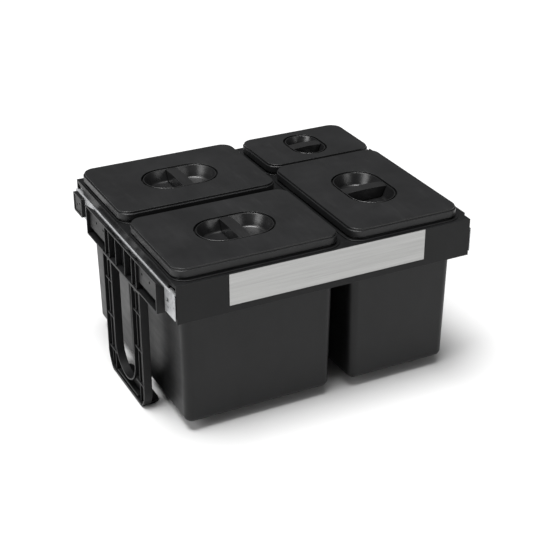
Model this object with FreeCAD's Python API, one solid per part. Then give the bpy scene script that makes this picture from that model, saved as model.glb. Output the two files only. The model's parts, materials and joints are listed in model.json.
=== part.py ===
"""Pull-out waste bin unit for a 600 mm base cabinet.

Four lidded bins hang in a frame that slides out between two side brackets.
Millimetres. +Z is up and the front faces -Y. The origin is the middle of the
unit's footprint, at the height that its feet stand on.
"""
import FreeCAD
import Part
import math
import os
from FreeCAD import Vector

# ---- Driving dimensions -------------------------------------------------------
FRAME_WIDTH = 530.0            # outside width of the sliding frame
FRAME_DEPTH = 450.0            # front face to rear face of the sliding frame
FRAME_TOP = 288.0              # height of the frame's deck above the feet
PANEL_HEIGHT = 66.6            # front and rear panels
PANEL_WALL = 3.0
DECK_WALL = 2.5
STRIP_PROUD = 1.0              # the trim strip stands this far in front of the frame
STRIP_WIDTH = 353.4
STRIP_DROP = 54.3
STRIP_RISE = 0.6
SCREW_PROUD = 1.6              # pan heads stand this far out of the rear panel

BRACKET_REACH = 17.0           # bracket's outer face, outside the frame's side
BRACKET_GAP = 3.0              # rail's outer face, outside the frame's side
BRACKET_CENTRE = 199.5         # bracket's centre line, behind the frame's front
EAR_HALF = 159.0
EAR_TOP = FRAME_TOP - 9.0
EAR_BOTTOM = FRAME_TOP - 63.0
LEG_OUTER = 84.5
SLOT_HALF = 44.5
SLOT_TOP = FRAME_TOP - 66.0
SLOT_ARC_Z = 69.0
RIB = 2.0
RIM = 2.5
WEB = 3.0
SPACER_HOLES = ((429.0, 38.0), (416.5, 33.0), (417.6, 46.5))   # behind the front, below the deck
SPACER_HOLE_R = 2.2
SPACER_REACH = 9.8             # spacer's outer face, outside the frame's side
SPACER_PLACE = (404.0, 446.0, 19.0, 55.0)     # behind the front, below the deck
SPACER_RIM = 3.5
SPACER_DISH = 1.2
SPACER_CORNER = 3.0
FOOT_REACH = 17.5              # the foot reaches this far inside the frame's side
FOOT_HALF = 66.0
FOOT_THICK = 5.0
EAR_HOLE_NEAR = 88.0
EAR_HOLE_FAR = 120.0
EAR_HOLE_DROP = 28.0
EAR_HOLE_R = 2.5
EAR_RECESS = 5.0
EAR_PLATE_START = 71.5         # the ear's flat plate begins here, from the centre line
EAR_PLATE_DROP = 48.0
UPPER_RIBS = (20.5, 52.0, 70.5)
LEG_RIBS = (57.8, 71.2)
LEG_CROSS_RIBS = (43.0, 110.0, 179.5)
TOP_LIP = 1.0                  # level part of the bracket's top edge
TOP_FALL = 12.5                # from there it falls this far towards the rail
PIVOT_BOSS_Y = 61.0
PIVOT_BOSS_R = 4.0
PIVOT_HOLE_R = 1.5
EAR_PAD_R = 6.0
LEG_ARC = (80.5, 18.0)         # a point on the leg's lower curve
LEG_KNEE_Z = 42.0
RIVET_PLACES = (-61.0, -36.0, 36.0, 61.0)
RIVET_R = 2.0
RIVET_HEAD_R = 3.4
RIVET_HEAD = 1.2

RUNNER_WIDTH = 12.7
RUNNER_LENGTH = 450.0
RUNNER_TOP = FRAME_TOP - 17.5
RUNNER_HEIGHT = 42.0
STEEL = 1.2
RAIL_START = 4.0
RAIL_FLANGE = 9.0
RAIL_WINDOW = (24.0, 32.6, 31.8, 39.8)        # behind the front, below the deck
RAIL_SLOT = (24.0, 40.0, 46.9, 48.3)
TONGUE_START = 0.6
TONGUE_HOLE = (6.0, 39.7)
TONGUE_HOLE_R = 1.3
MIDDLE_RAIL_IN = 2.4           # middle rail's web, inside the cabinet rail's face
MIDDLE_RAIL_HALF = 16.0
MIDDLE_RAIL_ENDS = (6.0, 430.0)
DRAWER_RAIL_HALF = 11.0
DRAWER_RAIL_ENDS = (5.0, 428.0)
INNER_FLANGE = 7.6
RUNNER_SCREW_PLACES = (40.0, 160.0, 280.0, 400.0)
RUNNER_SCREW_R = 1.8
BALL_R = 1.6
BALL_PLAY = 0.15
BALLS_PER_TRACK = 6
CAGE_START = 140.0
CAGE_LENGTH = 150.0
CAGE_END = 12.0                # first ball, from the cage's end
CAGE_WALL = 0.8
CAGE_BACK = 0.6
SCREW_ROUND = 0.7
DRIVE_WIDTH = 0.7
DRIVE_DEPTH = 1.2

LID_TOP = FRAME_TOP + 20.0
LID_MARGIN = 13.0              # lid's top edge, in from the frame's front
OUTER_LID_MARGIN = 6.0         # the left lids' outer edge, in from the frame's side
OUTER_LEDGE = 7.0              # the same edge, outside the line of the bin's other sides
OUTER_SLOPE = 3.2              # width of the sloping border along that edge
OUTER_SLOPE_DROP = 1.0
OUTER_RIM = 3.3                # bin's rim, outside that edge
LEFT_LID_WIDTH = 284.0
RIGHT_LID_WIDTH = 201.5
RIGHT_LID_MARGIN = 14.5
HALF_LID_DEPTH = 201.0
HALF_LID_GAP = 25.0
LONG_LID_DEPTH = 284.5
SMALL_LID_DEPTH = 130.5
SMALL_LID_GAP = 8.5
LID_CORNER = 21.0
LID_WALL = 2.2
SHOULDER_OUT = 2.2             # shoulder of the lid, outside its top edge
SHOULDER_DROP = 3.4
SKIRT_BOTTOM = FRAME_TOP + 5.5

RIM_OUT = 6.5                  # bin's rim, outside the lid's top edge
RIM_OUT_CLOSE = 3.7            # the same where two right-hand bins meet
RIM_THICK = 1.6
RIM_BEAD = 3.0
BIN_BOTTOM = FRAME_TOP - 271.0
BIN_INSET_X = 3.2              # bin's wall at the deck, inside the lid's top edge
BIN_INSET_Y = 7.2
BIN_TAPER = 3.8
BIN_WALL = 2.2
BIN_CORNER = 13.0
BIN_BASE_ROUND = 11.0

CUP_HALF_WIDTH = 44.5
CUP_HALF_LENGTH = 69.0
SMALL_CUP_HALF_WIDTH = 34.0
SMALL_CUP_HALF_LENGTH = 48.0
CUP_GROOVE = 3.0
CUP_RIM = 2.0
CUP_DEPTH = 21.0
CUP_SLOPE = 9.0
CUP_RIM_ROUND = 0.9
CUP_FLOOR_ROUND = 5.0
CUP_WALL = 2.0
GRIP_WIDTH = 20.0
GRIP_CLEAR = 0.3
TAB_HALF = 6.0
PLUG_PLAY = 0.8                # ring under the lid, inside the bin's wall
PLUG_WALL = 1.8
PLUG_DROP = 5.0

# ---- Places worked out from them ----------------------------------------------
FRONT = -(FRAME_DEPTH + SCREW_PROUD - STRIP_PROUD) / 2.0
REAR = FRONT + FRAME_DEPTH
LEFT = -FRAME_WIDTH / 2.0
RIGHT = FRAME_WIDTH / 2.0
BRACKET_Y = FRONT + BRACKET_CENTRE
OUTER_FACE = LEFT - BRACKET_REACH
RAIL_FACE = LEFT - BRACKET_GAP
RUNNER_MIDDLE = RUNNER_TOP - RUNNER_HEIGHT / 2.0
SIDE_WEB = RAIL_FACE + RUNNER_WIDTH + 0.2
SIDE_WEB_WALL = 2.5
SIDE_WEB_HEIGHT = 64.0
SIDE_DECK = 15.2
FRONT_DECK = 19.2
REAR_DECK = 16.0
SIDE_BAND = 16.8
BAND_END = 31.0                # the band is cut away this far from the frame's ends
BAND_END_DROPS = (4.5, 9.3)
BAND_WALL = 2.0
BAND_RIBS = 9
BAND_RIB_PITCH = 45.0
RIB_HALF = 0.8
PANEL_LIP = 9.0
PANEL_RIBS = 11
PANEL_RIB_END = 14.0
DIVIDER_HEIGHT = 30.0
DIVIDER_WALL = 2.0
BOSS_LENGTH = 11.0
BOSS_WIDTH = 8.0
BOSS_HALF = 5.0
CORNER_SCREW_DROPS = (20.0, 50.0)
CORNER_SCREW_R = 1.6
CORNER_SCREW_X = SIDE_WEB + SIDE_WEB_WALL + BOSS_WIDTH / 2.0

LIDS = {
    "front_left": (LEFT + OUTER_LID_MARGIN, FRONT + LID_MARGIN, LEFT_LID_WIDTH, HALF_LID_DEPTH),
    "rear_left": (LEFT + OUTER_LID_MARGIN, FRONT + LID_MARGIN + HALF_LID_DEPTH + HALF_LID_GAP,
                  LEFT_LID_WIDTH, HALF_LID_DEPTH),
    "front_right": (RIGHT - RIGHT_LID_MARGIN - RIGHT_LID_WIDTH, FRONT + LID_MARGIN - 0.5,
                    RIGHT_LID_WIDTH, LONG_LID_DEPTH),
    "rear_right": (RIGHT - RIGHT_LID_MARGIN - RIGHT_LID_WIDTH,
                   FRONT + LID_MARGIN - 0.5 + LONG_LID_DEPTH + SMALL_LID_GAP,
                   RIGHT_LID_WIDTH, SMALL_LID_DEPTH),
}


# ---- Shape helpers ------------------------------------------------------------
def box(x0, x1, y0, y1, z0, z1):
    return Part.makeBox(x1 - x0, y1 - y0, z1 - z0, Vector(x0, y0, z0))


def join(shapes):
    first = shapes[0]
    return first.multiFuse(shapes[1:]).removeSplitter() if len(shapes) > 1 else first


def polygon(points):
    return Part.Face(Part.makePolygon([Vector(*p) for p in points + points[:1]]))


def round_rect(x0, x1, y0, y1, radius, z):
    """Closed wire of a rectangle with rounded corners at height z."""
    edges = []
    corners = [(x1 - radius, y0 + radius, -90), (x1 - radius, y1 - radius, 0),
               (x0 + radius, y1 - radius, 90), (x0 + radius, y0 + radius, 180)]
    ends = []
    for cx, cy, start in corners:
        points = []
        for turn in (0, 45, 90):
            angle = math.radians(start + turn)
            points.append(Vector(cx + radius * math.cos(angle), cy + radius * math.sin(angle), z))
        ends.append(points)
    for here, after in zip(ends, ends[1:] + ends[:1]):
        edges.append(Part.Arc(*here).toShape())
        if (here[2] - after[0]).Length > 1e-6:
            edges.append(Part.LineSegment(here[2], after[0]).toShape())
    return Part.Wire(edges)


def slab(x0, x1, y0, y1, radius, z0, z1):
    """Flat block with rounded corners in plan."""
    return Part.Face(round_rect(x0, x1, y0, y1, radius, z0)).extrude(Vector(0, 0, z1 - z0))


def taper_block(low, high, z0, z1):
    """Solid between two rounded rectangles, each (x0, x1, y0, y1, radius)."""
    return Part.makeLoft([round_rect(*low, z0), round_rect(*high, z1)], True, True)


def grow(rect, out_x, out_y=None):
    x, y, width, depth = rect
    out_y = out_x if out_y is None else out_y
    return x - out_x, x + width + out_x, y - out_y, y + depth + out_y


def edges_at(shape, z, tolerance=0.01):
    """Edges that lie in the level plane at height z."""
    found = []
    for edge in shape.Edges:
        bound = edge.BoundBox
        if abs(bound.ZMin - z) < tolerance and abs(bound.ZMax - z) < tolerance:
            found.append(edge)
    return found


def rod(x, y, z, radius, length, direction):
    return Part.makeCylinder(radius, length, Vector(x, y, z), Vector(*direction))


def mirrored(shape):
    return shape.mirror(Vector(0, 0, 0), Vector(1, 0, 0))


def save(name, *solids):
    shape = solids[0] if len(solids) == 1 else Part.makeCompound(list(solids))
    if not shape.isValid():
        print("not valid:", name)
    shape.exportStep("parts/" + name + ".step")


def save_pair(name, *solids):
    """The left-hand piece, and its mirror image on the right."""
    save("left_" + name, *solids)
    save("right_" + name, *[mirrored(solid) for solid in solids])


# ---- Side brackets, which carry the unit ----------------------------------------
def side_profile(points, arcs=()):
    """Face in the plane of the bracket's outer side from (across, height) points."""
    corners = [Vector(OUTER_FACE, BRACKET_Y + across, height) for across, height in points]
    edges = []
    for index, start in enumerate(corners):
        end = corners[(index + 1) % len(corners)]
        middle = arcs.get(index) if arcs else None
        if middle:
            through = Vector(OUTER_FACE, BRACKET_Y + middle[0], middle[1])
            edges.append(Part.Arc(start, through, end).toShape())
        else:
            edges.append(Part.LineSegment(start, end).toShape())
    return Part.Face(Part.Wire(edges))


def bracket_outline(inset):
    """Outer outline of the bracket, moved inwards by inset."""
    ear = EAR_HALF - inset
    leg = LEG_OUTER - inset
    low = inset
    points = [(-ear, EAR_TOP - inset), (-ear, EAR_BOTTOM + inset), (-leg, EAR_BOTTOM + inset),
              (-leg, LEG_KNEE_Z), (-FOOT_HALF + 0.4 * inset, low), (FOOT_HALF - 0.4 * inset, low),
              (leg, LEG_KNEE_Z), (leg, EAR_BOTTOM + inset), (ear, EAR_BOTTOM + inset),
              (ear, EAR_TOP - inset)]
    across, height = LEG_ARC
    arcs = {3: (-across + inset, height), 5: (across - inset, height)}
    return side_profile(points, arcs)


def slot_outline(outset):
    half = SLOT_HALF + outset
    points = [(-half, SLOT_TOP + outset), (-half, SLOT_ARC_Z), (half, SLOT_ARC_Z),
              (half, SLOT_TOP + outset)]
    return side_profile(points, {1: (0.0, SLOT_ARC_Z - half)})


def side_bracket():
    depth = BRACKET_REACH - BRACKET_GAP
    through = Vector(depth, 0, 0)
    body = bracket_outline(0).extrude(through)
    slot = slot_outline(0).extrude(through)
    pocket = bracket_outline(RIM).extrude(Vector(depth - WEB, 0, 0))
    ribs = []

    def rib(y0, y1, z0, z1, lower=0.0):
        ribs.append(box(OUTER_FACE + lower, RAIL_FACE, BRACKET_Y + y0, BRACKET_Y + y1, z0, z1))

    for side in (-1, 1):
        for place in UPPER_RIBS:
            centre = side * place
            rib(centre - RIB / 2, centre + RIB / 2, EAR_BOTTOM, EAR_TOP, 0.8)
        for place in LEG_RIBS:
            centre = side * place
            rib(centre - RIB / 2, centre + RIB / 2, 3.0, EAR_BOTTOM, 3.0)
        for height in LEG_CROSS_RIBS:
            low, high = sorted((side * SLOT_HALF, side * LEG_OUTER))
            rib(low, high, height - RIB / 2, height + RIB / 2, 1.5)
        near, far = sorted((side * EAR_PLATE_START, side * (EAR_HALF - 1.0)))
        rib(near, far, FRAME_TOP - EAR_PLATE_DROP, EAR_TOP - 1.0, EAR_RECESS)
        ribs.append(rod(OUTER_FACE + 0.5, BRACKET_Y + side * PIVOT_BOSS_Y, SLOT_TOP, PIVOT_BOSS_R,
                        depth - 0.5, (1, 0, 0)))
    rib(-LEG_OUTER, LEG_OUTER, SLOT_TOP, SLOT_TOP + 4.0)
    rib(-SLOT_HALF - RIM, SLOT_HALF + RIM, 9.0, 11.0, 1.5)

    slot_rim = slot_outline(RIM).extrude(through).common(body)
    shape = join([body.cut(pocket), slot_rim] + [r.common(body) for r in ribs])
    shape = shape.cut(slot)

    for side in (-1, 1):
        for place in (EAR_HOLE_NEAR, EAR_HOLE_FAR):
            centre = BRACKET_Y + side * place
            if place == EAR_HOLE_NEAR:
                pad = rod(OUTER_FACE + EAR_RECESS, centre, FRAME_TOP - EAR_HOLE_DROP, EAR_PAD_R,
                          depth - EAR_RECESS, (1, 0, 0))
                shape = shape.fuse(pad)
            shape = shape.cut(rod(OUTER_FACE - 1, centre, FRAME_TOP - EAR_HOLE_DROP, EAR_HOLE_R,
                                  depth + 2, (1, 0, 0)))
        shape = shape.cut(rod(OUTER_FACE - 1, BRACKET_Y + side * PIVOT_BOSS_Y, SLOT_TOP, PIVOT_HOLE_R,
                              depth - WEB, (1, 0, 0)))
    for place in RIVET_PLACES:
        shape = shape.cut(rod(OUTER_FACE, BRACKET_Y + place, RUNNER_MIDDLE, RIVET_R,
                              depth + 1, (1, 0, 0)))

    # The top edge keeps a narrow lip and falls away towards the rail.
    start = BRACKET_Y - EAR_HALF - 1.0
    fall = polygon([(OUTER_FACE + TOP_LIP, start, EAR_TOP + 0.01),
                    (RAIL_FACE + 1.0, start, EAR_TOP + 0.01),
                    (RAIL_FACE + 1.0, start, EAR_TOP - TOP_FALL)])
    shape = shape.cut(fall.extrude(Vector(0, 2 * EAR_HALF + 2.0, 0)))

    foot_inner = LEFT + FOOT_REACH
    foot = slab(OUTER_FACE - 30.0, foot_inner, BRACKET_Y - FOOT_HALF, BRACKET_Y + FOOT_HALF,
                12.0, 0.0, FOOT_THICK)
    outside = box(OUTER_FACE - 40.0, OUTER_FACE, BRACKET_Y - 80, BRACKET_Y + 80, -1, FOOT_THICK + 1)
    foot = foot.cut(outside)
    return join([shape, foot]).removeSplitter()


# ---- Runners ------------------------------------------------------------------
def runner_channel(face, wall_side, half, reach, y0, y1):
    """Steel channel: a web at face and two flanges that reach across the runner."""
    far = face + wall_side * reach
    back = face + wall_side * STEEL
    pieces = [box(min(face, back), max(face, back), y0, y1, RUNNER_MIDDLE - half, RUNNER_MIDDLE + half)]
    for side in (-1, 1):
        z0, z1 = sorted((RUNNER_MIDDLE + side * half, RUNNER_MIDDLE + side * (half - STEEL)))
        pieces.append(box(min(face, far), max(face, far), y0, y1, z0, z1))
    return join(pieces)


def cabinet_rail():
    low = RUNNER_TOP - RUNNER_HEIGHT
    start = FRONT + RAIL_START
    channel = runner_channel(RAIL_FACE, 1, RUNNER_HEIGHT / 2.0, RAIL_FLANGE, start, FRONT + RUNNER_LENGTH)
    tongue = box(RAIL_FACE, RAIL_FACE + STEEL, FRONT + TONGUE_START, start, low, RUNNER_TOP)
    shape = join([channel, tongue])
    cutters = []
    for y0, y1, high, deep in (RAIL_WINDOW, RAIL_SLOT):
        cutters.append(box(RAIL_FACE - 1, RAIL_FACE + STEEL + 1, FRONT + y0, FRONT + y1,
                           FRAME_TOP - deep, FRAME_TOP - high))
    y, drop = TONGUE_HOLE
    cutters.append(rod(RAIL_FACE - 1, FRONT + y, FRAME_TOP - drop, TONGUE_HOLE_R, STEEL + 2, (1, 0, 0)))
    for place in (-EAR_HOLE_FAR, -EAR_HOLE_NEAR, EAR_HOLE_NEAR, EAR_HOLE_FAR):
        cutters.append(rod(RAIL_FACE - 1, BRACKET_Y + place, FRAME_TOP - EAR_HOLE_DROP, EAR_HOLE_R,
                           STEEL + 2, (1, 0, 0)))
    for place in RIVET_PLACES:
        cutters.append(rod(RAIL_FACE - 1, BRACKET_Y + place, RUNNER_MIDDLE, RIVET_R, STEEL + 2, (1, 0, 0)))
    for y, drop in SPACER_HOLES:
        cutters.append(rod(RAIL_FACE - 1, FRONT + y, FRAME_TOP - drop, SPACER_HOLE_R, STEEL + 2, (1, 0, 0)))
    for cutter in cutters:
        shape = shape.cut(cutter)
    return shape


def middle_rail():
    return runner_channel(RAIL_FACE + MIDDLE_RAIL_IN, 1, MIDDLE_RAIL_HALF, INNER_FLANGE,
                          FRONT + MIDDLE_RAIL_ENDS[0], FRONT + MIDDLE_RAIL_ENDS[1])


def drawer_rail():
    inner = RAIL_FACE + RUNNER_WIDTH
    shape = runner_channel(inner, -1, DRAWER_RAIL_HALF, INNER_FLANGE,
                           FRONT + DRAWER_RAIL_ENDS[0], FRONT + DRAWER_RAIL_ENDS[1])
    return cut_runner_holes(shape)


def cut_runner_holes(shape):
    for y in RUNNER_SCREW_PLACES:
        shape = shape.cut(rod(RAIL_FACE, FRONT + y, RUNNER_MIDDLE, RUNNER_SCREW_R, 30.0, (1, 0, 0)))
    return shape


def cage_with_balls(ball_height, x, back_x, reach):
    """Cage strips on both tracks, joined by a back strip, and the balls in their holes."""
    y0 = FRONT + CAGE_START
    y1 = y0 + CAGE_LENGTH
    half = CAGE_WALL / 2.0
    pieces = [box(back_x, back_x + CAGE_BACK, y0, y1, RUNNER_MIDDLE - ball_height - half,
                  RUNNER_MIDDLE + ball_height + half)]
    for side in (-1, 1):
        height = RUNNER_MIDDLE + side * ball_height
        pieces.append(box(back_x, x + reach / 2.0, y0, y1, height - half, height + half))
    cage = join(pieces)
    balls = []
    for index in range(BALLS_PER_TRACK):
        y = y0 + CAGE_END + index * (CAGE_LENGTH - 2 * CAGE_END) / (BALLS_PER_TRACK - 1)
        cage = cage.cut(rod(x, y, RUNNER_MIDDLE - 30.0, BALL_R + BALL_PLAY, 60.0, (0, 0, 1)))
        for side in (-1, 1):
            balls.append(Part.makeSphere(BALL_R, Vector(x, y, RUNNER_MIDDLE + side * ball_height)))
    return cage, balls


def rivet(y):
    """Rivet through the rail and the bracket's web, with its closed head on the bracket."""
    inner = RAIL_FACE + STEEL
    web_face = RAIL_FACE - WEB
    shank = rod(inner, y, RUNNER_MIDDLE, RIVET_R, STEEL + WEB, (-1, 0, 0))
    head = Part.makeCone(RIVET_HEAD_R, RIVET_HEAD_R - 1.0, RIVET_HEAD, Vector(web_face, y, RUNNER_MIDDLE),
                         Vector(-1, 0, 0))
    return shank.fuse(head)


def pan_head(x, y, z, direction, radius, head, length):
    """Pan-head screw: direction points from the head into the work."""
    dx, dy, dz = direction
    shank = rod(x, y, z, radius, length, direction)
    out = SCREW_PROUD
    cap = rod(x - dx * out, y - dy * out, z - dz * out, head, out, direction)
    cap = cap.makeFillet(SCREW_ROUND, [edge for edge in cap.Edges
                                       if edge.Curve.TypeId == "Part::GeomCircle"
                                       and (edge.Curve.Center - Vector(x, y, z)).Length > 1.0])
    slots = []
    for turn in (0, 90):
        bar = Part.makeBox(head * 1.1, DRIVE_WIDTH, DRIVE_DEPTH,
                           Vector(-head * 0.55, -DRIVE_WIDTH / 2.0, -SCREW_PROUD))
        bar.rotate(Vector(0, 0, 0), Vector(0, 0, 1), turn)
        slots.append(bar)
    cross = slots[0].fuse(slots[1])
    turned = FreeCAD.Rotation(Vector(0, 0, 1), Vector(*direction))
    cross.Placement = FreeCAD.Placement(Vector(x, y, z), turned)
    return cap.fuse(shank).cut(cross)


def rear_spacer():
    face = LEFT - SPACER_REACH
    y0, y1, high, deep = SPACER_PLACE
    rim = SPACER_RIM
    shape = box(face, RAIL_FACE, FRONT + y0, FRONT + y1, FRAME_TOP - deep, FRAME_TOP - high)
    shape = shape.makeFillet(SPACER_CORNER, [edge for edge in shape.Edges
                                             if abs(edge.BoundBox.XLength - (RAIL_FACE - face)) < 0.01])
    shape = shape.cut(box(face - 1, face + SPACER_DISH, FRONT + y0 + rim, FRONT + y1 - rim,
                          FRAME_TOP - deep + rim, FRAME_TOP - high - rim))
    for y, drop in SPACER_HOLES:
        shape = shape.cut(rod(face - 1, FRONT + y, FRAME_TOP - drop, SPACER_HOLE_R, 12.0, (1, 0, 0)))
    return shape


# ---- Sliding frame --------------------------------------------------------------
def side_panel():
    """Deck band over the runner, and the web that the runner is screwed to."""
    low = FRAME_TOP - SIDE_WEB_HEIGHT
    y0 = FRONT + PANEL_WALL
    y1 = REAR - PANEL_WALL
    deck = box(LEFT, LEFT + SIDE_DECK, y0, y1, FRAME_TOP - DECK_WALL, FRAME_TOP)
    web = box(SIDE_WEB, SIDE_WEB + SIDE_WEB_WALL, y0, y1, low, FRAME_TOP)
    shallow, deep = BAND_END_DROPS
    band = polygon([(LEFT, y0, FRAME_TOP), (LEFT, y0, FRAME_TOP - shallow),
                    (LEFT, FRONT + BAND_END, FRAME_TOP - deep),
                    (LEFT, FRONT + BAND_END, FRAME_TOP - SIDE_BAND),
                    (LEFT, REAR - BAND_END, FRAME_TOP - SIDE_BAND),
                    (LEFT, REAR - BAND_END, FRAME_TOP - deep),
                    (LEFT, y1, FRAME_TOP - shallow), (LEFT, y1, FRAME_TOP)])
    pieces = [deck, web, band.extrude(Vector(BAND_WALL, 0, 0))]
    for index in range(BAND_RIBS):
        y = FRONT + (index + 1) * BAND_RIB_PITCH
        pieces.append(box(LEFT, SIDE_WEB + 1, y - RIB_HALF, y + RIB_HALF, FRAME_TOP - deep, FRAME_TOP - 1))
    inner = SIDE_WEB + SIDE_WEB_WALL
    for drop in CORNER_SCREW_DROPS:
        height = FRAME_TOP - drop
        for near in (y0, y1 - BOSS_LENGTH):
            pieces.append(box(inner - 0.5, inner + BOSS_WIDTH, near, near + BOSS_LENGTH,
                              height - BOSS_HALF, height + BOSS_HALF))
    shape = join(pieces)
    for drop in CORNER_SCREW_DROPS:
        for near in (y0, y1 - BOSS_LENGTH):
            shape = shape.cut(rod(CORNER_SCREW_X, near - 1, FRAME_TOP - drop, CORNER_SCREW_R,
                                  BOSS_LENGTH + 2, (0, 1, 0)))
    return cut_runner_holes(shape)


def cross_panel(front):
    """Front or rear panel: a face, a deck flange and a stiffening lip."""
    if front:
        y_face, flange_depth, sign = FRONT, FRONT_DECK, 1
    else:
        y_face, flange_depth, sign = REAR, REAR_DECK, -1
    inner_left = LEFT + SIDE_DECK

    def across(x0, x1, depth0, depth1, z0, z1):
        low, high = sorted((y_face + sign * depth0, y_face + sign * depth1))
        return box(x0, x1, low, high, z0, z1)

    face = across(LEFT, RIGHT, 0.0, PANEL_WALL, FRAME_TOP - PANEL_HEIGHT, FRAME_TOP)
    pieces = [face,
              across(inner_left, -inner_left, 0.0, flange_depth, FRAME_TOP - DECK_WALL, FRAME_TOP),
              across(SIDE_WEB + 3.0, -SIDE_WEB - 3.0, 0.0, PANEL_LIP,
                     FRAME_TOP - PANEL_HEIGHT, FRAME_TOP - PANEL_HEIGHT + DECK_WALL)]
    start = inner_left + PANEL_RIB_END
    pitch = -2.0 * start / (PANEL_RIBS - 1)
    for index in range(PANEL_RIBS):
        x = start + index * pitch
        pieces.append(across(x - RIB / 2, x + RIB / 2, 0.0, PANEL_LIP, FRAME_TOP - PANEL_HEIGHT, FRAME_TOP))
    shape = join(pieces)
    hole_start = 1.0 if front else -1.0
    for side in (-1, 1):
        for drop in CORNER_SCREW_DROPS:
            start = y_face + sign * hole_start
            shape = shape.cut(rod(side * CORNER_SCREW_X, start, FRAME_TOP - drop, CORNER_SCREW_R,
                                  PANEL_WALL + 2.0, (0, sign, 0)))
    if front:
        return shape

    # The rear panel passes over the fixed rails, so its ends are cut away around them.
    notch = box(LEFT - 1.0, SIDE_WEB, REAR - flange_depth - 1.0, REAR + 1.0,
                RUNNER_TOP - RUNNER_HEIGHT - 1.5, FRAME_TOP - SIDE_BAND)
    return shape.cut(notch).cut(mirrored(notch))


def divider(x0, x1, y0, y1, along_y):
    """Upside-down channel that two neighbouring bins' rims rest on."""
    deck = box(x0, x1, y0, y1, FRAME_TOP - DECK_WALL, FRAME_TOP)
    low = FRAME_TOP - DIVIDER_HEIGHT
    wall = DIVIDER_WALL
    if along_y:
        walls = [box(x0, x0 + wall, y0, y1, low, FRAME_TOP), box(x1 - wall, x1, y0, y1, low, FRAME_TOP)]
    else:
        walls = [box(x0, x1, y0, y0 + wall, low, FRAME_TOP), box(x0, x1, y1 - wall, y1, low, FRAME_TOP)]
    return join([deck] + walls)


def trim_strip():
    half = STRIP_WIDTH / 2.0
    shape = box(-half, half, FRONT - STRIP_PROUD, FRONT, FRAME_TOP - STRIP_DROP, FRAME_TOP + STRIP_RISE)
    edges = [edge for edge in shape.Edges if edge.BoundBox.YMax < FRONT - STRIP_PROUD + 0.01]
    return shape.makeChamfer(0.3, edges)


# ---- Bins -----------------------------------------------------------------------
def wall_rect(name):
    """The lid's rectangle without the left lids' wider outer border."""
    x, y, width, depth = LIDS[name]
    if name.endswith("left"):
        return x + OUTER_LEDGE, y, width - OUTER_LEDGE, depth
    return x, y, width, depth


def rim_outline(name):
    x0, x1, y0, y1 = grow(LIDS[name], RIM_OUT)
    close = RIM_OUT - RIM_OUT_CLOSE
    if name.endswith("left"):
        x0 += RIM_OUT - OUTER_RIM
    if name == "front_right":
        y1 -= close
    if name == "rear_right":
        y0 += close
    return x0, x1, y0, y1


def bin_shape(name):
    rect = LIDS[name]
    walls = wall_rect(name)
    top = grow(walls, -BIN_INSET_X, -BIN_INSET_Y)
    base = grow(walls, -BIN_INSET_X - BIN_TAPER, -BIN_INSET_Y - BIN_TAPER)
    outer = taper_block((*base, BIN_CORNER), (*top, BIN_CORNER + 2.0), BIN_BOTTOM, FRAME_TOP)
    outer = outer.makeFillet(BIN_BASE_ROUND, edges_at(outer, BIN_BOTTOM))

    def inward(r, by):
        return r[0] + by, r[1] - by, r[2] + by, r[3] - by

    floor = BIN_BOTTOM + BIN_WALL
    hollow = taper_block((*inward(base, BIN_WALL), BIN_CORNER - BIN_WALL),
                         (*inward(top, BIN_WALL), BIN_CORNER + 2.0 - BIN_WALL),
                         floor, FRAME_TOP + 0.01)
    hollow = hollow.makeFillet(BIN_BASE_ROUND - BIN_WALL, edges_at(hollow, floor))

    rim = slab(*rim_outline(name), LID_CORNER + RIM_OUT, FRAME_TOP, FRAME_TOP + RIM_THICK)
    rim = rim.makeFillet(0.7, edges_at(rim, FRAME_TOP + RIM_THICK))
    bead = slab(*grow(rect, -0.6), LID_CORNER, FRAME_TOP, FRAME_TOP + RIM_BEAD)
    bead = bead.makeFillet(0.8, edges_at(bead, FRAME_TOP + RIM_BEAD))
    mouth = slab(*inward(top, BIN_WALL), BIN_CORNER + 2.0 - BIN_WALL, FRAME_TOP - 0.02, FRAME_TOP + 10.0)
    return join([outer, rim, bead]).cut(hollow).cut(mouth).removeSplitter()


# ---- Lids and their grips ---------------------------------------------------------
def cup_size(name):
    """Half length and half width of the grip's opening, and whether it lies along X."""
    rect = wall_rect(name)
    centre = (rect[0] + rect[2] / 2.0, rect[1] + rect[3] / 2.0)
    if name == "rear_right":
        return centre, SMALL_CUP_HALF_LENGTH, SMALL_CUP_HALF_WIDTH, False
    return centre, CUP_HALF_LENGTH, CUP_HALF_WIDTH, name.endswith("left")


def cup_rect(name, inset):
    (cx, cy), length, width, along_x = cup_size(name)
    half_x, half_y = (length, width) if along_x else (width, length)
    radius = width - inset
    return (cx - half_x + inset, cx + half_x - inset, cy - half_y + inset, cy + half_y - inset,
            radius - 0.01)


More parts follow.
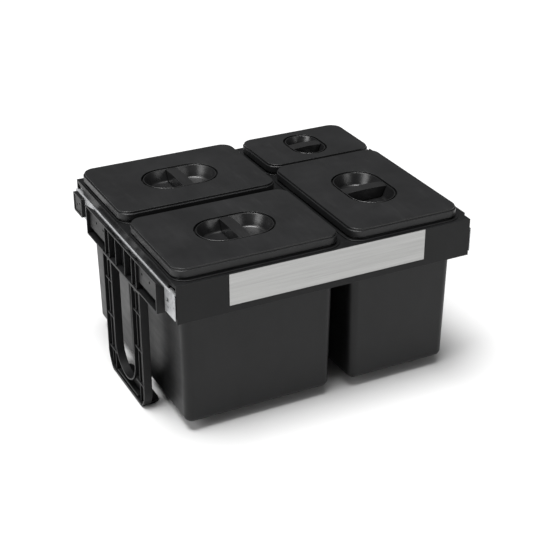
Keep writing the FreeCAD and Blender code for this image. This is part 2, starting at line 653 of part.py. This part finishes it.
def lid_shape(name):
    rect = LIDS[name]
    shoulder = LID_TOP - SHOULDER_DROP
    skirt = slab(*grow(rect, SHOULDER_OUT), LID_CORNER + SHOULDER_OUT, SKIRT_BOTTOM, shoulder)
    skirt = skirt.makeFillet(1.4, edges_at(skirt, shoulder))
    plate = slab(*grow(rect, 0.0), LID_CORNER, SKIRT_BOTTOM, LID_TOP)
    plate = plate.makeFillet(0.8, edges_at(plate, LID_TOP))
    if name.endswith("left"):
        x0, x1, y0, y1 = grow(rect, 0.0)
        border = polygon([(x0 - 1.0, y0, LID_TOP - OUTER_SLOPE_DROP * (1.0 + 1.0 / OUTER_SLOPE)),
                          (x0 + OUTER_SLOPE, y0, LID_TOP), (x0 - 1.0, y0, LID_TOP + 1.0)])
        plate = plate.cut(border.extrude(Vector(0, y1 - y0, 0)))
    shape = join([skirt, plate])
    shape = shape.cut(slab(*grow(rect, 0.2), LID_CORNER, SKIRT_BOTTOM - 1, shoulder - 2.0))
    shape = shape.cut(slab(*grow(rect, -2.0), LID_CORNER - 2.0, SKIRT_BOTTOM - 1, LID_TOP - LID_WALL))

    rest = slab(*grow(rect, -1.6), LID_CORNER - 1.6, FRAME_TOP + RIM_BEAD, LID_TOP - LID_WALL)
    rest = rest.cut(slab(*grow(rect, -3.0), LID_CORNER - 3.0, FRAME_TOP, LID_TOP))
    walls = wall_rect(name)
    inset = BIN_WALL + PLUG_PLAY
    plug_out = grow(walls, -BIN_INSET_X - inset, -BIN_INSET_Y - inset)
    inset += PLUG_WALL
    plug_in = grow(walls, -BIN_INSET_X - inset, -BIN_INSET_Y - inset)
    plug = slab(*plug_out, BIN_CORNER - 1.0, FRAME_TOP - PLUG_DROP, LID_TOP - LID_WALL)
    plug = plug.cut(slab(*plug_in, BIN_CORNER - 1.0 - PLUG_WALL, FRAME_TOP - PLUG_DROP - 1.0, LID_TOP))
    collar = slab(*cup_rect(name, -1.6), LID_TOP - 5.0, LID_TOP - LID_WALL)
    shape = join([shape, rest, plug, collar])
    return shape.cut(slab(*cup_rect(name, 0.0), FRAME_TOP - 10.0, LID_TOP + 1)).removeSplitter()


def grip_cup(name):
    rim_z = LID_TOP - 0.4
    floor = LID_TOP - CUP_DEPTH
    edge = CUP_GROOVE

    outer_top = cup_rect(name, edge)
    outer_low = cup_rect(name, edge + CUP_SLOPE)
    inner_top = cup_rect(name, edge + CUP_RIM)
    inner_low = cup_rect(name, edge + CUP_RIM + CUP_SLOPE)
    outer = taper_block(outer_low, outer_top, floor - CUP_WALL, rim_z)
    inner = taper_block(inner_low, inner_top, floor, rim_z + 0.01)
    inner = inner.makeFillet(CUP_FLOOR_ROUND, edges_at(inner, floor))
    flange = slab(*cup_rect(name, -1.6), LID_TOP - 7.0, LID_TOP - 5.0)
    shape = join([outer, flange]).cut(inner)
    shape = shape.makeFillet(CUP_RIM_ROUND, edges_at(shape, rim_z))
    return shape.cut(grip_tabs(name, 0.1, rim_z + 1.0))


def grip_tabs(name, clear, top):
    """End tabs of the grip bar, in the notches of the cup's rim."""
    (cx, cy), _, width, along_x = cup_size(name)
    half = TAB_HALF + clear
    reach = width - CUP_GROOVE - 0.4 + clear * 5.0
    low = LID_TOP - 3.0 - clear
    if along_x:
        return box(cx - half, cx + half, cy - reach, cy + reach, low, top)
    return box(cx - reach, cx + reach, cy - half, cy + half, low, top)


def grip_bar(name):
    """Bar across the cup: a solid wall with a slightly arched top."""
    (cx, cy), _, width, along_x = cup_size(name)
    top_reach = width - CUP_GROOVE - CUP_RIM - 3 * GRIP_CLEAR
    wall_reach = top_reach - 0.75 * CUP_SLOPE
    low_reach = top_reach - CUP_SLOPE - 4.0
    floor = LID_TOP - CUP_DEPTH + GRIP_CLEAR
    edge_z = LID_TOP - 1.4
    points = [Vector(0, -top_reach, edge_z), Vector(0, 0, LID_TOP), Vector(0, top_reach, edge_z)]
    knee = floor + CUP_FLOOR_ROUND + 0.5
    corner = [Vector(0, wall_reach, knee), Vector(0, low_reach, floor)]
    other = [Vector(0, -low_reach, floor), Vector(0, -wall_reach, knee)]
    edges = [Part.Arc(*points).toShape()]
    run = [points[2]] + corner + other + [points[0]]
    for start, end in zip(run, run[1:]):
        edges.append(Part.LineSegment(start, end).toShape())
    wall = Part.Face(Part.Wire(edges)).extrude(Vector(GRIP_WIDTH, 0, 0))
    wall.translate(Vector(-GRIP_WIDTH / 2.0, 0, 0))
    if not along_x:
        wall.rotate(Vector(0, 0, 0), Vector(0, 0, 1), 90)
    wall.translate(Vector(cx, cy, 0))
    tabs = grip_tabs(name, 0.0, LID_TOP - 1.0)
    return join([wall, tabs])


# ---- Assembly -------------------------------------------------------------------
def runners():
    save_pair("cabinet_rail", cabinet_rail())
    save_pair("middle_rail", middle_rail())
    save_pair("drawer_rail", drawer_rail())
    cage, balls = cage_with_balls(17.9, RAIL_FACE + 6.0, RAIL_FACE + 1.5, 4.4)
    save_pair("outer_ball_cage", cage)
    save_pair("outer_balls", *balls)
    cage, balls = cage_with_balls(12.9, RAIL_FACE + 7.6, RAIL_FACE + 3.9, 4.0)
    save_pair("inner_ball_cage", cage)
    save_pair("inner_balls", *balls)


def fixings():
    save_pair("rail_rivets", *[rivet(BRACKET_Y + place) for place in RIVET_PLACES])
    screws = []
    for y in RUNNER_SCREW_PLACES:
        screws.append(pan_head(SIDE_WEB + SIDE_WEB_WALL, FRONT + y, RUNNER_MIDDLE, (-1, 0, 0),
                               RUNNER_SCREW_R, 3.6, SIDE_WEB_WALL + 0.2 + STEEL))
    save_pair("runner_screws", *screws)
    screws = []
    for drop in CORNER_SCREW_DROPS:
        height = FRAME_TOP - drop
        inside = FRONT + PANEL_WALL + BOSS_LENGTH
        screws.append(pan_head(CORNER_SCREW_X, REAR, height, (0, -1, 0), CORNER_SCREW_R, 3.4, 12.0))
        screws.append(pan_head(CORNER_SCREW_X, inside, height, (0, -1, 0), CORNER_SCREW_R, 3.4,
                               BOSS_LENGTH + 1.8))
    save_pair("frame_screws", *screws)


def sliding_frame():
    save_pair("side_panel", side_panel())
    save("front_panel", cross_panel(True))
    save("rear_panel", cross_panel(False))
    save("front_trim_strip", trim_strip())
    inner_left = LEFT + SIDE_DECK
    left_rect = LIDS["front_left"]
    right_rect = LIDS["front_right"]
    middle_x0 = left_rect[0] + left_rect[2] - BIN_INSET_X + 1.0
    middle_x1 = right_rect[0] + BIN_INSET_X - 1.0
    y0 = FRONT + FRONT_DECK
    y1 = REAR - REAR_DECK
    save("centre_divider", divider(middle_x0, middle_x1, y0, y1, True))
    for name, front_bin, rear_bin, x0, x1 in (
            ("left_cross_divider", "front_left", "rear_left", inner_left, middle_x0),
            ("right_cross_divider", "front_right", "rear_right", middle_x1, -inner_left)):
        near = LIDS[front_bin][1] + LIDS[front_bin][3] - BIN_INSET_Y + 1.0
        far = LIDS[rear_bin][1] + BIN_INSET_Y - 1.0
        save(name, divider(x0, x1, near, far, False))


def main():
    os.makedirs("parts", exist_ok=True)
    save_pair("side_bracket", side_bracket())
    save_pair("rear_spacer", rear_spacer())
    runners()
    fixings()
    sliding_frame()
    for name in LIDS:
        save(name + "_bin", bin_shape(name))
        save(name + "_lid", lid_shape(name))
        save(name + "_grip_cup", grip_cup(name))
        save(name + "_grip_bar", grip_bar(name))


main()
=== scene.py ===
import json
import math

import bmesh
import bpy
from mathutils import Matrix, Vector


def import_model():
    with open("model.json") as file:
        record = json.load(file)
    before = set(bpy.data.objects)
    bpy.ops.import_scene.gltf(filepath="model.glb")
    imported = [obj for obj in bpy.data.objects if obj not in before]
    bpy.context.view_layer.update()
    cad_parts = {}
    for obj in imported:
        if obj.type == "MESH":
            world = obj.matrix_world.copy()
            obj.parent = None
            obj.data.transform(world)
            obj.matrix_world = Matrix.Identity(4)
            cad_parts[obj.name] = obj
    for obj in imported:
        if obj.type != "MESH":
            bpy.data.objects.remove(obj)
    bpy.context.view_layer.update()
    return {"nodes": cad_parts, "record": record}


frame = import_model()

NODES = frame["nodes"]
SLOT_OF = {part["node"]: part["material_slot"] for part in frame["record"]["subparts"]}


# ---------------------------------------------------------------- materials

COLOUR_A, COLOUR_B, COLOUR_OUT = 6, 7, 2   # the Mix node's colour sockets
BEVEL_SAMPLES = 4
SKY_SAMPLES = 6
SKY_WINDOW = (0.30, 0.85)        # openness that counts as a closed crease and as open
RIDGE_WINDOW = (0.80, 0.985)     # agreement of the two normals on an edge and on a flat face


class Graph:
    """A material's node tree, with one short call per node."""

    def __init__(self, name):
        self.material = bpy.data.materials.new(name)
        self.material.use_nodes = True
        self.tree = self.material.node_tree
        self.shader = self.tree.nodes["Principled BSDF"]
        self.place = self.add("ShaderNodeTexCoord").outputs["Object"]

    def add(self, kind, **values):
        node = self.tree.nodes.new(kind)
        for key, value in values.items():
            setattr(node, key, value)
        return node

    def link(self, source, target):
        self.tree.links.new(source, target)

    def stretched(self, scale):
        """Object coordinates in metres, scaled along each axis."""
        node = self.add("ShaderNodeMapping")
        node.inputs["Scale"].default_value = scale
        self.link(self.place, node.inputs["Vector"])
        return node.outputs["Vector"]

    def noise(self, scale, detail=2.0, rough=0.5, stretch=None, distort=0.0):
        node = self.add("ShaderNodeTexNoise")
        node.inputs["Scale"].default_value = scale
        node.inputs["Detail"].default_value = detail
        node.inputs["Roughness"].default_value = rough
        node.inputs["Distortion"].default_value = distort
        self.link(self.stretched(stretch) if stretch else self.place, node.inputs["Vector"])
        return node.outputs["Fac"]

    def cells(self, scale):
        node = self.add("ShaderNodeTexVoronoi", feature="F1")
        node.inputs["Scale"].default_value = scale
        self.link(self.place, node.inputs["Vector"])
        return node

    def span(self, source, low, high, start=0.0, end=1.0):
        """Remaps source from start..end to low..high, clamped."""
        node = self.add("ShaderNodeMapRange", clamp=True)
        node.inputs["From Min"].default_value = start
        node.inputs["From Max"].default_value = end
        node.inputs["To Min"].default_value = low
        node.inputs["To Max"].default_value = high
        self.link(source, node.inputs["Value"])
        return node.outputs["Result"]

    def math(self, operation, a, b):
        node = self.add("ShaderNodeMath", operation=operation)
        for socket, value in zip(node.inputs, (a, b)):
            if isinstance(value, (int, float)):
                socket.default_value = value
            else:
                self.link(value, socket)
        return node.outputs["Value"]

    def mix(self, share, a, b):
        """Blends two colours by share; each colour is a value triple or a socket."""
        node = self.add("ShaderNodeMix", data_type="RGBA")
        self.link(share, node.inputs["Factor"])
        for socket, value in zip((node.inputs[COLOUR_A], node.inputs[COLOUR_B]), (a, b)):
            if isinstance(value, tuple):
                socket.default_value = (*value, 1.0)
            else:
                self.link(value, socket)
        return node.outputs[COLOUR_OUT]

    def bump(self, height, distance, strength=1.0, under=None):
        node = self.add("ShaderNodeBump")
        node.inputs["Strength"].default_value = strength
        node.inputs["Distance"].default_value = distance
        self.link(height, node.inputs["Height"])
        if under is not None:
            self.link(under, node.inputs["Normal"])
        return node.outputs["Normal"]

    def rounded(self, radius):
        """Normal that turns smoothly across sharp edges, as a moulded or rolled edge does."""
        node = self.add("ShaderNodeBevel", samples=BEVEL_SAMPLES)
        node.inputs["Radius"].default_value = radius
        return node.outputs["Normal"]

    def open_sky(self, reach):
        """1 on open surfaces, falling towards 0 in creases narrower than reach."""
        node = self.add("ShaderNodeAmbientOcclusion", samples=SKY_SAMPLES)
        node.inputs["Distance"].default_value = reach
        closed, open_ = SKY_WINDOW
        return self.span(node.outputs["AO"], 0.0, 1.0, start=closed, end=open_)

    def ridge(self, rounded):
        """1 on sharp edges, 0 on flat faces, from the turn between the rounded and the true normal."""
        node = self.add("ShaderNodeVectorMath", operation="DOT_PRODUCT")
        self.link(rounded, node.inputs[0])
        self.link(self.add("ShaderNodeNewGeometry").outputs["Normal"], node.inputs[1])
        sharp, flat = RIDGE_WINDOW
        return self.span(node.outputs["Value"], 1.0, 0.0, start=sharp, end=flat)

    def set(self, **values):
        for key, value in values.items():
            socket = self.shader.inputs[key.replace("_", " ")]
            if isinstance(value, (int, float)):
                socket.default_value = value
            else:
                self.link(value, socket)


CREASE_REACH = 0.004
# painted edge highlight: tone added to, and gain on, the plastic's light colour
EDGE_HIGHLIGHT_TONE = 0.012
EDGE_HIGHLIGHT_GAIN = 2.5                  # a painted edge highlight is this much lighter than the plastic
WORN_GAIN = 1.5
WORN_TONE = 0.002
# share of the plastic's dark tone used as painted shade in creases
CREASE_SHADE_GAIN = 0.25
FLOW_DEPTH = 0.00001


def moulded_plastic(name, dark, light, rough, grain, depth, gloss, edge):
    """Injection-moulded plastic: fine spark-eroded grain, faint flow clouds and rubbed patches, with
    painted highlights on sharp edges and painted shade in creases.
    """
    g = Graph(name)
    clouds = g.noise(7.0, detail=4.0, rough=0.6)
    flow = g.noise(22.0, detail=3.0, stretch=(1.0, 1.0, 0.35), distort=0.6)
    fine = g.noise(grain, detail=2.0, rough=0.65)
    rubs = g.noise(70.0, detail=5.0, rough=0.7, stretch=(1.0, 0.18, 1.0))
    rubbed = g.span(rubs, 0.0, 1.0, start=0.60, end=0.74)
    clear = g.open_sky(CREASE_REACH)
    rounded = g.rounded(edge)
    streaks = g.math("MULTIPLY", clouds, flow)
    base = g.mix(g.span(streaks, 0.0, 1.0, start=0.12, end=0.42), dark, light)
    worn = tuple(min(1.0, c * WORN_GAIN + WORN_TONE) for c in light)
    # edge_highlight is the colour of the painted highlight along sharp convex edges
    edge_highlight = tuple(min(1.0, c * EDGE_HIGHLIGHT_GAIN + EDGE_HIGHLIGHT_TONE) for c in light)
    # crease_shade is a darkened copy of the plastic, used as painted shade
    crease_shade = tuple(c * CREASE_SHADE_GAIN for c in dark)
    colour = g.mix(g.math("MULTIPLY", rubbed, 0.35), base, worn)
    colour = g.mix(g.span(fine, 0.0, 0.35, start=0.45, end=0.75), colour, worn)
    # paints a highlight onto sharp convex edges that stand in the open (ridge mask times openness)
    colour = g.mix(g.math("MULTIPLY", g.ridge(rounded), clear), colour, edge_highlight)
    # paints shade into creases and narrow gaps where the ambient-occlusion openness falls
    colour = g.mix(clear, crease_shade, colour)
    roughness = g.math("ADD", g.span(clouds, rough - 0.05, rough + 0.05, start=0.3, end=0.7),
                       g.span(rubs, -0.04, 0.05, start=0.4, end=0.7))
    normal = g.bump(fine, depth, under=g.bump(flow, FLOW_DEPTH, strength=0.5, under=rounded))
    g.set(Base_Color=colour, Roughness=roughness, Normal=normal,
          # the specular level also drops in creases: painted shade on the highlights
          Specular_IOR_Level=g.span(clear, gloss * 0.15, gloss))
    return g.material


STRIP_DARK = (0.30, 0.30, 0.296)
STRIP_LIGHT = (0.46, 0.46, 0.452)


def brushed_steel(name):
    """Stainless strip brushed along X, with a satin drift in tone."""
    g = Graph(name)
    hair = g.noise(1.0, detail=3.0, rough=0.7, stretch=(14.0, 300.0, 2600.0))
    streak = g.noise(1.0, detail=2.0, rough=0.6, stretch=(5.0, 60.0, 420.0))
    drift = g.noise(4.0, detail=2.0)
    tone = g.math("ADD", g.math("MULTIPLY", hair, 0.6), g.math("MULTIPLY", streak, 0.4))
    colour = g.mix(g.span(tone, 0.0, 1.0, start=0.3, end=0.7), STRIP_DARK, STRIP_LIGHT)
    roughness = g.math("ADD", g.span(tone, 0.30, 0.42, start=0.3, end=0.7), g.span(drift, -0.03, 0.03))
    g.set(Base_Color=colour, Roughness=roughness, Metallic=1.0, Normal=g.bump(hair, 0.00004, strength=0.6))
    return g.material


SPANGLE_SHARE = 0.35             # the crystals' part of the tone; the patches make the rest


def zinc_steel(name, dark, light, rough, spangle, metal):
    """Zinc-plated sheet: small crystal spangle, dull patches and fine rolling marks."""
    g = Graph(name)
    crystal = g.cells(spangle)
    patches = g.noise(35.0, detail=4.0, rough=0.6)
    rolled = g.noise(1.0, detail=2.0, rough=0.6, stretch=(900.0, 30.0, 900.0))
    grey = g.add("ShaderNodeSeparateColor")
    g.link(crystal.outputs["Color"], grey.inputs["Color"])
    tone = g.math("ADD", g.math("MULTIPLY", grey.outputs["Red"], SPANGLE_SHARE),
                  g.math("MULTIPLY", patches, 1.0 - SPANGLE_SHARE))
    colour = g.mix(g.span(tone, 0.0, 1.0, start=0.2, end=0.8), dark, light)
    roughness = g.math("ADD", g.span(tone, rough - 0.07, rough + 0.08, start=0.2, end=0.8),
                       g.span(rolled, -0.03, 0.03))
    normal = g.bump(rolled, 0.00003, under=g.bump(grey.outputs["Green"], 0.00001))
    g.set(Base_Color=colour, Roughness=roughness, Metallic=metal, Normal=normal)
    return g.material


def bearing_steel(name):
    """Hardened ball steel with an oil-darkened, faintly scratched polish."""
    g = Graph(name)
    haze = g.noise(900.0, detail=3.0)
    scratch = g.noise(1.0, detail=4.0, rough=0.8, stretch=(500.0, 3000.0, 700.0))
    colour = g.mix(haze, (0.55, 0.55, 0.56), (0.80, 0.80, 0.81))
    g.set(Base_Color=colour, Roughness=g.span(scratch, 0.10, 0.26), Metallic=1.0,
          Normal=g.bump(scratch, 0.000006))
    return g.material


EDGE_RADIUS = 0.0008
CAGE_EDGE_RADIUS = 0.0003

MATERIALS = {
    "bin_plastic": moulded_plastic(
        "bin_plastic", dark=(0.0036, 0.0037, 0.0039), light=(0.0066, 0.0067, 0.0070),
        rough=0.40, grain=1500.0, depth=0.000006, gloss=0.26, edge=EDGE_RADIUS),
    "lid_plastic": moulded_plastic(
        "lid_plastic", dark=(0.0060, 0.0061, 0.0064), light=(0.0096, 0.0097, 0.0101),
        rough=0.36, grain=1700.0, depth=0.000005, gloss=0.34, edge=EDGE_RADIUS),
    "grip_plastic": moulded_plastic(
        "grip_plastic", dark=(0.0040, 0.0040, 0.0042), light=(0.0070, 0.0070, 0.0073),
        rough=0.34, grain=2400.0, depth=0.000001, gloss=0.48, edge=EDGE_RADIUS),
    "frame_plastic": moulded_plastic(
        "frame_plastic", dark=(0.0032, 0.0033, 0.0035), light=(0.0060, 0.0061, 0.0064),
        rough=0.42, grain=1300.0, depth=0.000006, gloss=0.20, edge=EDGE_RADIUS),
    "bracket_plastic": moulded_plastic(
        "bracket_plastic", dark=(0.0030, 0.0031, 0.0033), light=(0.0058, 0.0059, 0.0062),
        rough=0.46, grain=1100.0, depth=0.000008, gloss=0.24, edge=EDGE_RADIUS),
    "cage_plastic": moulded_plastic(
        "cage_plastic", dark=(0.42, 0.42, 0.40), light=(0.52, 0.52, 0.50),
        rough=0.42, grain=1900.0, depth=0.00003, gloss=0.4, edge=CAGE_EDGE_RADIUS),
    "trim_steel": brushed_steel("trim_steel"),
    "galvanised_steel": zinc_steel(
        "galvanised_steel", dark=(0.30, 0.306, 0.312), light=(0.50, 0.506, 0.516),
        rough=0.46, spangle=420.0, metal=0.55),
    "fastener_steel": zinc_steel(
        "fastener_steel", dark=(0.34, 0.34, 0.33), light=(0.60, 0.60, 0.58),
        rough=0.32, spangle=900.0, metal=0.80),
    "ball_steel": bearing_steel("ball_steel"),
}


for name, node in NODES.items():
    node.data.materials.clear()
    node.data.materials.append(MATERIALS[SLOT_OF[name]])

# ---------------------------------------------------------------- stage, light and camera

FLOOR_SIDE = 14.0
FLOOR_TONE = (0.545, 0.545, 0.545)


def floor():
    mesh = bpy.data.meshes.new("floor")
    work = bmesh.new()
    bmesh.ops.create_grid(work, x_segments=1, y_segments=1, size=FLOOR_SIDE / 2)
    work.to_mesh(mesh)
    work.free()
    plane = bpy.data.objects.new("floor", mesh)
    bpy.context.scene.collection.objects.link(plane)
    g = Graph("studio_floor")
    g.shader.inputs["Base Color"].default_value = (*FLOOR_TONE, 1.0)
    g.set(Roughness=g.span(g.noise(3.0), 0.75, 0.85), Specular_IOR_Level=0.2)
    mesh.materials.append(g.material)


def hang(lamp_data, place, direction):
    """Puts a lamp at place, shining along direction."""
    lamp = bpy.data.objects.new(lamp_data.name, lamp_data)
    lamp.location = place
    lamp.rotation_mode = "QUATERNION"
    lamp.rotation_quaternion = Vector(direction).to_track_quat("-Z", "Y")
    bpy.context.scene.collection.objects.link(lamp)


def softbox(name, place, target, size, power):
    data = bpy.data.lights.new(name, "AREA")
    data.shape = "RECTANGLE"
    data.size, data.size_y = size
    data.energy = power
    hang(data, place, Vector(target) - Vector(place))


def soft_sun(direction, strength, width):
    """Even light from a wide disc of sky; width is the disc's angle in degrees."""
    data = bpy.data.lights.new("sky_disc", "SUN")
    data.energy = strength
    data.angle = math.radians(width)
    hang(data, (0.0, 0.0, 0.0), -Vector(direction))


def world(strength):
    space = bpy.data.worlds.new("studio")
    bpy.context.scene.world = space
    space.use_nodes = True
    background = space.node_tree.nodes["Background"]
    background.inputs["Color"].default_value = (1.0, 1.0, 1.0, 1.0)
    background.inputs["Strength"].default_value = strength


CAMERA_PLACE = (-0.9156, -1.8519, 1.2299)
CAMERA_TURN = 26.68
CAMERA_DROP = 27.83
CAMERA_LENS = 86.44
SENSOR_WIDTH = 36.0              # millimetres, as the lens
NEAREST = 0.05

floor()
world(strength=0.13)
soft_sun(direction=(-0.16, 0.02, 1.0), strength=6.0, width=38.0)
softbox("left", place=(-2.4, -0.6, 1.5), target=(0.0, 0.0, 0.15), size=(1.4, 1.2), power=36.0)
softbox("front", place=(1.1, -2.4, 1.0), target=(0.0, 0.0, 0.25), size=(1.3, 0.7), power=12.0)

camera = bpy.data.objects.new("camera", bpy.data.cameras.new("camera"))
camera.location = CAMERA_PLACE
camera.rotation_euler = (math.radians(90.0 - CAMERA_DROP), 0.0, math.radians(-CAMERA_TURN))
camera.data.lens = CAMERA_LENS
camera.data.sensor_width = SENSOR_WIDTH
camera.data.clip_start = NEAREST
bpy.context.scene.collection.objects.link(camera)
bpy.context.scene.camera = camera
bpy.context.scene.view_settings.view_transform = "Standard"
